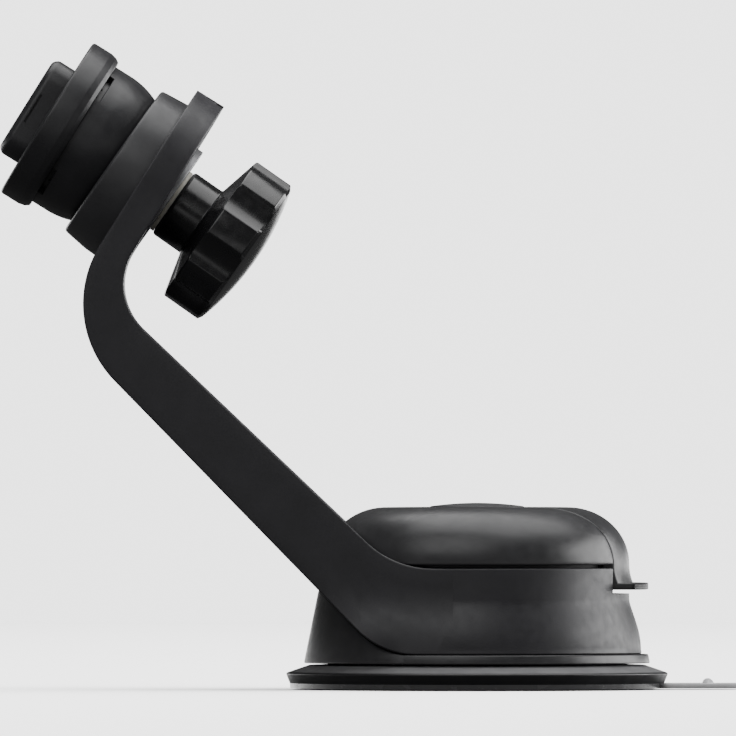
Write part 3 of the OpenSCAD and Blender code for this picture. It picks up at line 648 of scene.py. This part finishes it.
def build_arm():
    loops = []
    for under, over, height in arm_stations():
        thickness = (over - under).length
        depths = across(thickness)
        centre = [under + (over - under) * d / thickness for d in depths]
        width = [max(0.02, side_at(p, d, thickness, height)) for p, d in zip(centre, depths)]
        near_side = [(p.x, -w, p.y) for p, w in zip(centre, width)]
        far_side = [(p.x, w, p.y) for p, w in zip(centre, width)]
        back_row = [(over.x, width[-1] * t, over.y) for t in (-0.5, 0, 0.5)]
        front_row = [(under.x, -width[0] * t, under.y) for t in (-0.5, 0, 0.5)]
        loops.append(near_side + back_row + far_side[::-1] + front_row)
    arm = loft("arm_moulding", loops)
    drum = lathe("drum", rounded([(0, DRUM_BOT, 0)] + DRUM_WALL + [(DRUM_R, DRUM_TOP, EDGE_R), (0, DRUM_TOP, 0)], 0.4, 6),
                 segments=192)
    combine(drum, under_tool(), "DIFFERENCE")
    combine(arm, drum, "UNION")
    cavity = lathe("cavity", [(0, -1), (DRUM_IN, -1), (DRUM_IN, DRUM_TOP + 0.02), (DRUM_R + 0.3, DRUM_TOP + 0.02),
                              (DRUM_R + 0.3, 90), (0, 90)], segments=192)
    combine(arm, cavity, "DIFFERENCE")
    notch = box_piece("notch", (16, -LEVER_W / 2 - LEVER_GAP, NOTCH_Z), (60, LEVER_W / 2 + LEVER_GAP, 90))
    combine(arm, notch, "DIFFERENCE")
    combine(arm, rod("bore", 12.9, 11, 24, BACK), "DIFFERENCE")
    combine(arm, cover_block("rebate", 0.15, -COVER_T - 0.02, 6), "DIFFERENCE")
    for a in (45, 135, 225, 315):
        c, s = math.cos(math.radians(a)), math.sin(math.radians(a))
        spot = PLATE @ Matrix.Translation((SCREW_AT * c, SCREW_AT * s, PLATE_BACK))
        combine(arm, rod("screw_seat", 2.4, -1.3, 2, spot, 40), "DIFFERENCE")
    return finish_piece(arm, "arm", 30)


def under_tool():
    """The space below the arm's underside on the head's side of the base."""
    foot, elbow = path_under()
    outline = [(p[0], p[1]) for p in foot] + [(elbow[0][0], elbow[0][1]), (-95, 60), (-95, -5), (foot[0][0], -5)]
    loops = [[(x, y, z) for x, z in outline] for y in (-60, 60)]
    return loft("below_arm", loops)


PLATE = axis_place(BALL, Vector((math.cos(HEAD_SLOPE), 0, -math.sin(HEAD_SLOPE))))
SCREW_AT = 16.4
COVER_L, COVER_W, COVER_T, COVER_MID = 52.0, 36.0, 2.2, 34.0
COVER_FOOT = (FOOT_OVER.x + FOOT_OVER_R * math.cos(math.radians(270 - OVER_SLOPE)),
              FOOT_OVER.y + FOOT_OVER_R * math.sin(math.radians(270 - OVER_SLOPE)))
UP_ARM = Vector((-math.cos(math.radians(OVER_SLOPE)), 0, math.sin(math.radians(OVER_SLOPE))))
ARM_OUT = Vector((math.sin(math.radians(OVER_SLOPE)), 0, math.cos(math.radians(OVER_SLOPE))))
COVER = Matrix.Translation(Vector((COVER_FOOT[0], 0, COVER_FOOT[1])) + UP_ARM * COVER_MID) @ Matrix(
    (UP_ARM, Vector((0, 1, 0)), ARM_OUT)).transposed().to_4x4()


def rounded_square(half_x, half_y, radius, z, steps=8):
    loop = []
    for sx, sy, start in ((1, 1, 0), (-1, 1, 90), (-1, -1, 180), (1, -1, 270)):
        centre = (sx * (half_x - radius), sy * (half_y - radius))
        loop += [(x, y, z) for x, y in arc(centre, radius, start, start + 90, steps)]
    return loop


def cover_block(name, grow, low, high, edge=0.0):
    half = (COVER_L / 2 + grow, COVER_W / 2 + grow)
    loops = [rounded_square(half[0], half[1], 1.2, low)]
    if edge:
        loops.append(rounded_square(half[0], half[1], 1.2, high - edge))
        loops.append(rounded_square(half[0] - edge * 0.3, half[1] - edge * 0.3, 1.1, high - edge * 0.3))
        loops.append(rounded_square(half[0] - edge, half[1] - edge, 0.9, high))
    else:
        loops.append(rounded_square(half[0], half[1], 1.2, high))
    return loft(name, loops, COVER)


def build_arm_cover():
    cover = cover_block("arm_cover_plate", 0, -COVER_T, 0, 0.35)
    for end in (-1, 1):
        spot = COVER @ Matrix.Translation((end * (COVER_L / 2 - 3.4), 0, 0))
        seat = lathe("screw_seat", [(0, -3), (1.05, -3), (1.05, -1.3), (1.98, -0.35), (1.98, 1), (0, 1)], spot, 40)
        combine(cover, seat, "DIFFERENCE")
    return finish_piece(cover, "arm_cover", 30)


# ---------------------------------------------------------------- dome and lever
CURVE_W = DRUM_R - FLAT_R
CURVE_H = DOME_TOP - DOME_Z - 0.2
CURVE_Z = DOME_Z + 0.2


def dome_curve(inset, start=0, end=90, steps=28):
    out = []
    for i in range(steps + 1):
        a = math.radians(start + (end - start) * i / steps)
        out.append((FLAT_R + (CURVE_W - inset) * math.cos(a), CURVE_Z + (CURVE_H - inset) * math.sin(a)))
    return out


def build_dome():
    spigot = DRUM_IN - 0.3
    edge = rounded([(DRUM_R - 0.01, DOME_Z + 3, 0), (spigot - 2, DOME_Z + 1.6, 0), (spigot - 2, NOTCH_Z - 0.7, 0.3),
                    (spigot, NOTCH_Z - 0.7, 0.4), (spigot, DOME_Z, 0), (DRUM_R, DOME_Z, 0.35)])[1:]
    outer = [(r, z) for r, z in dome_curve(0) if z > DOME_Z + 0.5]
    inner = [(r, z) for r, z in dome_curve(SHELL_T)[::-1] if z > DOME_Z + 1.7]
    outline = outer + [(0, DOME_TOP), (0, DOME_TOP - SHELL_T)] + inner
    outline += [(DRUM_R - SHELL_T - 0.1, DOME_Z + 1.6)] + edge
    dome = lathe("dome_top", outline, segments=224)
    half = LEVER_W / 2 + LEVER_GAP
    sweep = rod("sweep", LEVER_END_R + LEVER_GAP, -half, half,
                Matrix.Translation(PIN) @ Matrix.Rotation(math.radians(90), 4, "X"), 160)
    slot = box_piece("slot", (0, -half, PIN.z - 10), (80, half, 90))
    combine(sweep, slot, "UNION")
    for a in BOSS_ANGLES:
        c, s = math.cos(math.radians(a)), math.sin(math.radians(a))
        post = lathe("boss", [(1.52, FLOOR_Z), (3.2, FLOOR_Z), (3.2, DOME_TOP - 5.5), (1.52, DOME_TOP - 5.5)],
                     Matrix.Translation((BOSS_AT * c, BOSS_AT * s, 0)), 32)
        combine(dome, post, "UNION")
    combine(dome, sweep, "DIFFERENCE")
    soften(dome, 0.22, 40, 2)
    return finish_piece(dome, "dome_cover", 28)


def lever_section(side=LEVER_W / 2, depth=SHELL_T, radius=0.45):
    """Loop round the lever's strip: (distance across, depth below the dome's skin)."""
    loop = []
    for sy, sd, start in ((1, 0, 270), (1, 1, 0), (-1, 1, 90), (-1, 0, 180)):
        centre = (sy * (side - radius), radius if sd == 0 else depth - radius)
        loop += arc(centre, radius, start, start + 90, 5)
    out = []
    for a, b in zip(loop, loop[1:] + loop[:1]):
        out.append(a)
        if abs(a[0] - b[0]) > 4:
            out += [between(a, b, t / 8) for t in range(1, 8)]
    return out


def lever_loops():
    section = lever_section()
    loops = []
    for i in range(9):
        t = i / 8
        loop = []
        for y, d in section:
            rear = -math.sqrt(LEVER_END_R ** 2 - (DOME_TOP - PIN.z - d) ** 2)
            loop.append((rear + (math.sqrt(FLAT_R ** 2 - y * y) - rear) * t, y, DOME_TOP - d))
        loops.append(loop)
    for i in range(1, 27):
        a = math.radians(90 - 90 * i / 26)
        loops.append([(math.sqrt((FLAT_R + (CURVE_W - d) * math.cos(a)) ** 2 - y * y), y,
                       CURVE_Z + (CURVE_H - d) * math.sin(a)) for y, d in section])
    corner_z, flare = TAB_Z + TAB_T, 0.8
    for i in range(1, 6):
        t = i / 6
        loops.append([(math.sqrt((DRUM_R + flare * t * t - d) ** 2 - y * y), y,
                       CURVE_Z + (corner_z - CURVE_Z) * t - (d / SHELL_T) * TAB_T * t * t) for y, d in section])
    tip = DRUM_R + 4.2
    start_out, start_in = DRUM_R + flare, DRUM_R + flare - SHELL_T
    for t, pinch in ((0, 0), (0.12, 0), (0.5, 0), (0.93, 0), (0.98, 0.08), (1.0, 0.25), (1.0, 0.97)):
        loop = []
        for y, d in section:
            q = d / SHELL_T
            r = (start_out + (start_in - start_out) * q) * (1 - t) + tip * t
            z = corner_z - TAB_T * q
            middle = corner_z - TAB_T / 2
            loop.append((math.sqrt(r * r - y * y), y, middle + (z - middle) * (1 - pinch)))
        loops.append(loop)
    return loops


def build_lever():
    skin = loft("lever_strip", lever_loops())
    cam_lead = 3.0 / 60
    lead = cam_lead * 180 / math.pi
    side = []
    for turn in range(-10, 71, 4):
        a, h = math.radians(-90 - turn), 8 - cam_lead * turn
        side.append((h * math.cos(a) - lead * math.sin(a), PIN.z + h * math.sin(a) + lead * math.cos(a)))
    side += [(-8.5, DOME_TOP - SHELL_T + 0.4), (8.5, DOME_TOP - SHELL_T + 0.4), (5.75, PIN.z)]
    for s in (-1, 1):
        y0, y1 = sorted((s * 5.6, s * 9.4))
        loops = [[(x, y, z) for x, z in side] for y in (y0, y1)]
        combine(skin, loft("cheek", loops), "UNION")
        rib = dome_curve(SHELL_T - 0.4) + dome_curve(SHELL_T + 3)[::-1]
        rib += [(DRUM_R - SHELL_T - 4.2, CURVE_Z - 0.3), (DRUM_R - SHELL_T - 4.2, TAB_Z + 1),
                (DRUM_R - SHELL_T + 1.2, TAB_Z)]
        y0, y1 = sorted((s * 6.7, s * 8.3))
        loops = [[(math.sqrt(r * r - y * y), y, z) for r, z in rib] for y in (y0, y1)]
        combine(skin, loft("rib", loops), "UNION")
    hole = rod("hole", 2.05, -30, 30, Matrix.Translation(PIN) @ Matrix.Rotation(math.radians(90), 4, "X"), 48)
    combine(skin, hole, "DIFFERENCE")
    return finish_piece(skin, "lever", 30)


def low_cap(radius, height, z, steps=16):
    ball = (radius ** 2 + height ** 2) / (2 * height)
    reach = math.asin(radius / ball)
    return [(ball * math.sin(reach * i / steps), z + height - ball + ball * math.cos(reach * i / steps))
            for i in range(steps + 1)]


def build_lever_pad():
    outline = low_cap(10.2, 0.72, DOME_TOP + 0.23)[::-1] + [(0, DOME_TOP), (10.35, DOME_TOP), (10.32, DOME_TOP + 0.12)]
    return finish_piece(lathe("pad_dome", outline, segments=128), "lever_pad", 50)


# ---------------------------------------------------------------- ball joint
COLLAR_R, BALL_R, SOCKET_IN = 19.4, 17.4, 18.25
SOCKET_FRONT, SPIGOT_R, SPIGOT_BACK = 6.5, 12.8, 20.3
TILT = math.acos(max(-1, min(1, (PLATE.to_3x3() @ Vector((0, 0, 1))).dot(KNOB_DIR))))


def plate_depth(radius, angle):
    """Distance along the knob's axis at which a line at this radius and angle meets the arm's plate."""
    across_x = radius * math.cos(math.radians(angle))
    return (PLATE_FRONT - across_x * math.sin(TILT) * PLATE_SIGN) / math.cos(TILT)


PLATE_SIGN = 1 if (BACK.to_3x3() @ Vector((1, 0, 0))).dot(PLATE.to_3x3() @ Vector((0, 0, 1))) > 0 else -1


def socket_outline(angle):
    end_out, end_in = plate_depth(COLLAR_R, angle), plate_depth(SPIGOT_R, angle)
    recess_r = math.sqrt(SOCKET_IN ** 2 - SOCKET_FRONT ** 2)
    outline = rounded([
        (recess_r, SOCKET_FRONT, 0.3), (COLLAR_R - 0.75, SOCKET_FRONT, 1.0), (COLLAR_R - 0.55, SOCKET_FRONT + 1.4, 2.0),
        (COLLAR_R, SOCKET_FRONT + 6.2, 2.0), (COLLAR_R, end_out, 0), (SPIGOT_R, end_in, 0),
        (SPIGOT_R, SPIGOT_BACK, 0.1), (4.25, SPIGOT_BACK, 0), (4.25, SOCKET_IN, 0)], steps=6)
    start, stop = math.degrees(math.asin(4.3 / SOCKET_IN)), math.degrees(math.acos(SOCKET_FRONT / SOCKET_IN))
    bowl = [(SOCKET_IN * math.sin(math.radians(start + (stop - start) * i / 24)),
             SOCKET_IN * math.cos(math.radians(start + (stop - start) * i / 24))) for i in range(24)]
    return outline + bowl


def build_socket():
    return finish_piece(lathe("socket_ring", socket_outline, BACK, 192), "socket", 30)


def build_washer():
    outline = rounded([(3.1, SPIGOT_BACK), (SPIGOT_R, SPIGOT_BACK, 0.1), (SPIGOT_R, SPIGOT_BACK + 1.5, 0.25),
                       (3.1, SPIGOT_BACK + 1.5)], 0.15)
    return finish_piece(lathe("washer_disc", outline, BACK, 128), "thrust_washer", 30)


SLOT_HALF, SLOT_Z, SLOT_R = 14.5, 2.65, 16.05
GUARD_END, GUARD_IN, BARREL_R, THROAT_R, BARREL_END = 6.3, 16.45, 14.9, 12.3, 9.4


def ball_outline(angle):
    offset = abs((angle - 45 + 45) % 90 - 45)
    slotted = offset < SLOT_HALF
    hole = 34
    points = [(BALL_R * math.sin(math.radians(hole + (90 - hole) * i / 30)),
               -BALL_R * math.cos(math.radians(hole + (90 - hole) * i / 30))) for i in range(31)]
    points.append((BALL_R, SLOT_Z - 0.12))
    if slotted:
        points += [(BALL_R - 0.1, SLOT_Z), (SLOT_R, SLOT_Z + 0.02), (SLOT_R, GUARD_END - 0.15), (SLOT_R - 0.02, GUARD_END)]
    else:
        points += [(BALL_R, SLOT_Z), (BALL_R, SLOT_Z + 0.02), (BALL_R, GUARD_END - 0.15), (BALL_R - 0.15, GUARD_END)]
    inside = SLOT_R - 0.1 if slotted else GUARD_IN
    points += [(inside, GUARD_END), (inside, 0.2), (BARREL_R, 0.2), (BARREL_R, BARREL_END - 0.2),
               (BARREL_R - 0.2, BARREL_END), (THROAT_R, BARREL_END)]
    throat = math.degrees(math.asin(THROAT_R / 14.8))
    points += [(14.8 * math.sin(math.radians(throat + (hole - throat) * i / 10)),
                -14.8 * math.cos(math.radians(throat + (hole - throat) * i / 10))) for i in range(11)]
    return points


def build_ball():
    angles = []
    for k in range(4):
        middle = 45 + 90 * k
        angles += [middle - SLOT_HALF - 0.05, middle - SLOT_HALF + 0.05]
        angles += [middle - SLOT_HALF + 2 * SLOT_HALF * i / 14 for i in range(1, 14)]
        angles += [middle + SLOT_HALF - 0.05, middle + SLOT_HALF + 0.05]
        angles += [middle + SLOT_HALF + (90 - 2 * SLOT_HALF) * i / 30 for i in range(1, 30)]
    return finish_piece(lathe("ball_body", ball_outline, AHEAD, angles=angles), "ball_shell", 30)


# ---------------------------------------------------------------- phone head
COLLAR_REAR, COLLAR_FRONT, COLLAR_WALL = 3.8, 10.9, 1.9
CLEAT_W, CLEAT_FRONT, CLEAT_SEAT, CLEAT_CORNER = 23.9, 16.2, 10.7, 5.0


def build_collar():
    outline = rounded([
        (BALL_R + 0.3, COLLAR_REAR, 0.2), (COLLAR_R - 0.95, COLLAR_REAR, 0.3), (COLLAR_R - 0.35, COLLAR_REAR + 0.9, 0.8),
        (COLLAR_R, COLLAR_REAR + 2.3, 1.2), (COLLAR_R, COLLAR_FRONT, 0.7), (BARREL_R + 0.2, COLLAR_FRONT, 0.3),
        (BARREL_R + 0.2, COLLAR_FRONT - COLLAR_WALL, 0.1), (BALL_R + 0.3, COLLAR_FRONT - COLLAR_WALL, 0)], steps=6)
    collar = lathe("release_collar", outline, AHEAD, 192)
    for k in range(4):
        a0, a1 = 45 + 90 * k - 13.5, 45 + 90 * k + 13.5
        loops = []
        for i in range(9):
            a = math.radians(a0 + (a1 - a0) * i / 8)
            loops.append([(r * math.cos(a), r * math.sin(a), z) for r, z in
                          ((16.6, 5.4), (18.0, 5.4), (18.0, COLLAR_FRONT - 1.7), (16.6, COLLAR_FRONT - 1.7))])
        combine(collar, loft("lug", loops, AHEAD), "UNION")
    return finish_piece(collar, "collar", 30)


def build_cleat():
    half = CLEAT_W / 2
    steps = [(CLEAT_SEAT - 0.4, 0.0), (CLEAT_SEAT, 0.0), (CLEAT_FRONT - 1.5, 0.0), (CLEAT_FRONT - 1.1, 0.1),
             (CLEAT_FRONT - 0.55, 0.5), (CLEAT_FRONT - 0.2, 0.9), (CLEAT_FRONT - 0.05, 1.25), (CLEAT_FRONT, 1.7)]
    cleat = loft("twist_cleat", [rounded_square(half - i, half - i, CLEAT_CORNER - i * 0.7, z, 10) for z, i in steps],
                 AHEAD)
    flange = lathe("flange", rounded([(0, BARREL_END - 1.5, 0), (THROAT_R - 0.1, BARREL_END - 1.5, 0.3),
                                      (THROAT_R - 0.1, BARREL_END, 0), (BARREL_R - 0.2, BARREL_END, 0.1),
                                      (BARREL_R - 0.2, CLEAT_SEAT, 0.25), (0, CLEAT_SEAT, 0)]), AHEAD, 128)
    combine(cleat, flange, "UNION")
    for k in range(4):
        turn = AHEAD @ Matrix.Rotation(math.radians(90 * k), 4, "Z")
        slot = box_piece("lock_slot", (half - 1.2, -3.55, CLEAT_FRONT - 2.1), (half + 3, 3.55, CLEAT_FRONT - 1.6), turn)
        combine(cleat, slot, "DIFFERENCE")
        spot = turn @ Matrix.Translation((13.4, 0, CLEAT_SEAT))
        combine(cleat, rod("screw_seat", 1.18, -0.5, 2, spot, 32), "DIFFERENCE")
    return finish_piece(cleat, "cleat", 30)


# ---------------------------------------------------------------- knob
NECK_Z, NECK_R, RIM_Z, RIM_END, CAP_Z, KNOB_R = 22.7, 8.2, 32.6, 41.7, 42.4, 17.9
SCALLOPS, SCALLOP_R, SCALLOP_D, SCALLOP_TURN = 8, 7.0, 1.5, 15.5


def scallop_radius(angle):
    """Distance from the axis to the nearest scallop's wall, or none between scallops."""
    pitch = 360 / SCALLOPS
    off = math.radians((angle - SCALLOP_TURN + pitch / 2) % pitch - pitch / 2)
    centre = KNOB_R - SCALLOP_D + SCALLOP_R
    side = centre * math.sin(off)
    if abs(side) >= SCALLOP_R:
        return None
    return centre * math.cos(off) - math.sqrt(SCALLOP_R ** 2 - side ** 2)


def soft_min(a, b, width=0.35):
    h = max(0.0, width - abs(a - b)) / width
    return min(a, b) - h * h * width * 0.25


def knob_outline(angle):
    cavity = KNOB_R - SCALLOP_D - 2.2
    outer = rounded([
        (3.3, NECK_Z, 0), (NECK_R, NECK_Z, 0.8), (NECK_R, RIM_Z - 2.4, 0.5), (KNOB_R, RIM_Z, 0.6),
        (KNOB_R, RIM_END, 0.45), (KNOB_R - 1.1, CAP_Z, 0.2), (cavity, CAP_Z, 0)], 0.3, 6)
    cut = scallop_radius(angle)
    if cut is not None:
        outer = [(soft_min(r, cut) if r > NECK_R + 3 else r, z) for r, z in outer]
    inner = [(cavity, RIM_Z + 2.6), (7.5, RIM_Z + 2.6), (7.5, 38.0), (5.0, 38.0), (5.0, 24.0), (3.3, 24.0)]
    return outer + inner


def build_knob():
    knob = lathe("knob_body", knob_outline, BACK, 384)
    return finish_piece(knob, "knob", 24)


def build_knob_cap():
    edge = KNOB_R - SCALLOP_D + 0.1
    cavity = KNOB_R - SCALLOP_D - 2.25
    outline = low_cap(edge - 0.1, 2.3, CAP_Z + 0.1, 24)[::-1]
    outline = outline + [(0, CAP_Z - 2), (cavity, CAP_Z - 2), (cavity, CAP_Z), (edge - 0.15, CAP_Z), (edge, CAP_Z + 0.05)]
    return finish_piece(lathe("knob_cap_dome", outline, BACK, 192), "knob_cap", 50)


for build in (build_gel, build_cup, build_lower_housing, build_arm, build_arm_cover, build_dome, build_lever,
              build_lever_pad, build_socket, build_washer, build_ball, build_collar, build_cleat, build_knob,
              build_knob_cap):
    build()


# ---------------------------------------------------------------- stage, light and camera
def build_stage():
    side, front, rear, depth = 1.8, 1.8, 1.8, 0.0003
    mesh = bpy.data.meshes.new("floor")
    mesh.from_pydata([(-side, -front, -depth), (side, -front, -depth), (side, rear, -depth), (-side, rear, -depth)],
                     [], [(0, 1, 2, 3)])
    floor = bpy.data.objects.new("floor", mesh)
    bpy.context.scene.collection.objects.link(floor)
    floor.data.materials.append(material("pale_paper", (0.86, 0.86, 0.86), 0.85, mottle=0.01, rough_spread=0.02,
                                         specular=0.2))
    floor.visible_glossy = floor.visible_diffuse = False
    return floor


def area_light(name, at, aim, size, radiance):
    """A soft box: radiance is how bright its face is, so its size sets how much light it gives."""
    data = bpy.data.lights.new(name, "AREA")
    data.shape = "RECTANGLE"
    data.size, data.size_y = size
    data.energy = radiance * math.pi * size[0] * size[1]
    lamp = bpy.data.objects.new(name, data)
    bpy.context.scene.collection.objects.link(lamp)
    lamp.location = at
    lamp.rotation_euler = (Vector(aim) - Vector(at)).to_track_quat("-Z", "Y").to_euler()
    return lamp


def build_world():
    """A dim room with a bright cove along the horizon, brightest behind the object."""
    world = bpy.data.worlds.new("studio")
    world.use_nodes = True
    tree = world.node_tree
    add, link = tree.nodes.new, tree.links.new

    def ramp(value, low, high, from_low, from_high):
        node = add("ShaderNodeMapRange")
        node.interpolation_type = "SMOOTHSTEP"
        node.inputs["From Min"].default_value = low
        node.inputs["From Max"].default_value = high
        node.inputs["To Min"].default_value = from_low
        node.inputs["To Max"].default_value = from_high
        link(value, node.inputs["Value"])
        return node.outputs["Result"]

    def math_node(operation, a, b=None):
        node = add("ShaderNodeMath")
        node.operation = operation
        for socket, value in zip(node.inputs, (a, b)):
            if isinstance(value, (int, float)):
                socket.default_value = value
            elif value is not None:
                link(value, socket)
        return node.outputs["Value"]

    towards = add("ShaderNodeSeparateXYZ")
    link(add("ShaderNodeTexCoord").outputs["Generated"], towards.inputs["Vector"])
    height = math_node("ABSOLUTE", math_node("ADD", towards.outputs["Z"], 0.02))
    cove = ramp(height, 0.05, 0.11, COVE_LIGHT, 0.0)
    side = ramp(towards.outputs["Y"], -0.2, 0.7, FRONT_SHARE, 1.0)
    strength = math_node("ADD", math_node("MULTIPLY", cove, side), ROOM_LIGHT)
    link(strength, tree.nodes["Background"].inputs["Strength"])
    tree.nodes["Background"].inputs["Color"].default_value = (1, 1, 1, 1)
    bpy.context.scene.world = world


COVE_LIGHT, ROOM_LIGHT, FRONT_SHARE = 3.0, 0.08, 0.26


def build_light(floor):
    middle = (-0.02, 0, 0.06)
    wash = area_light("floor_wash", (0, 0.2, 2.2), (0, 0.2, 0), (5.0, 5.0), 7.0)
    only_floor, not_floor = (bpy.data.collections.new(name) for name in ("only_floor", "not_floor"))
    for group in (only_floor, not_floor):
        group.objects.link(floor)
    not_floor.collection_objects[0].light_linking.link_state = "EXCLUDE"
    wash.light_linking.receiver_collection = only_floor
    for name, at, size, radiance in (("top_soft", (0.05, 0.15, 1.0), (1.4, 1.0), 3.2),
                                     ("right_soft", (1.0, 0.25, 0.30), (1.1, 0.6), 6.0),
                                     ("front_soft", (-0.40, -0.85, 0.85), (1.2, 0.8), 1.8)):
        area_light(name, at, middle, size, radiance).light_linking.receiver_collection = not_floor


def build_camera():
    """A very long lens, level with the middle of the object: the view is all but square on."""
    data = bpy.data.cameras.new("side_view")
    data.lens, data.sensor_width = 1500, 36
    width, at_x, at_z = 0.1619, -0.02398, 0.0704
    data.clip_start, data.clip_end = 0.5, 80
    camera = bpy.data.objects.new("side_view", data)
    bpy.context.scene.collection.objects.link(camera)
    camera.location = (at_x, -data.lens / data.sensor_width * width, at_z)
    camera.rotation_euler = (math.radians(90), 0, 0)
    bpy.context.scene.camera = camera


paper = build_stage()
build_world()
build_light(paper)
build_camera()
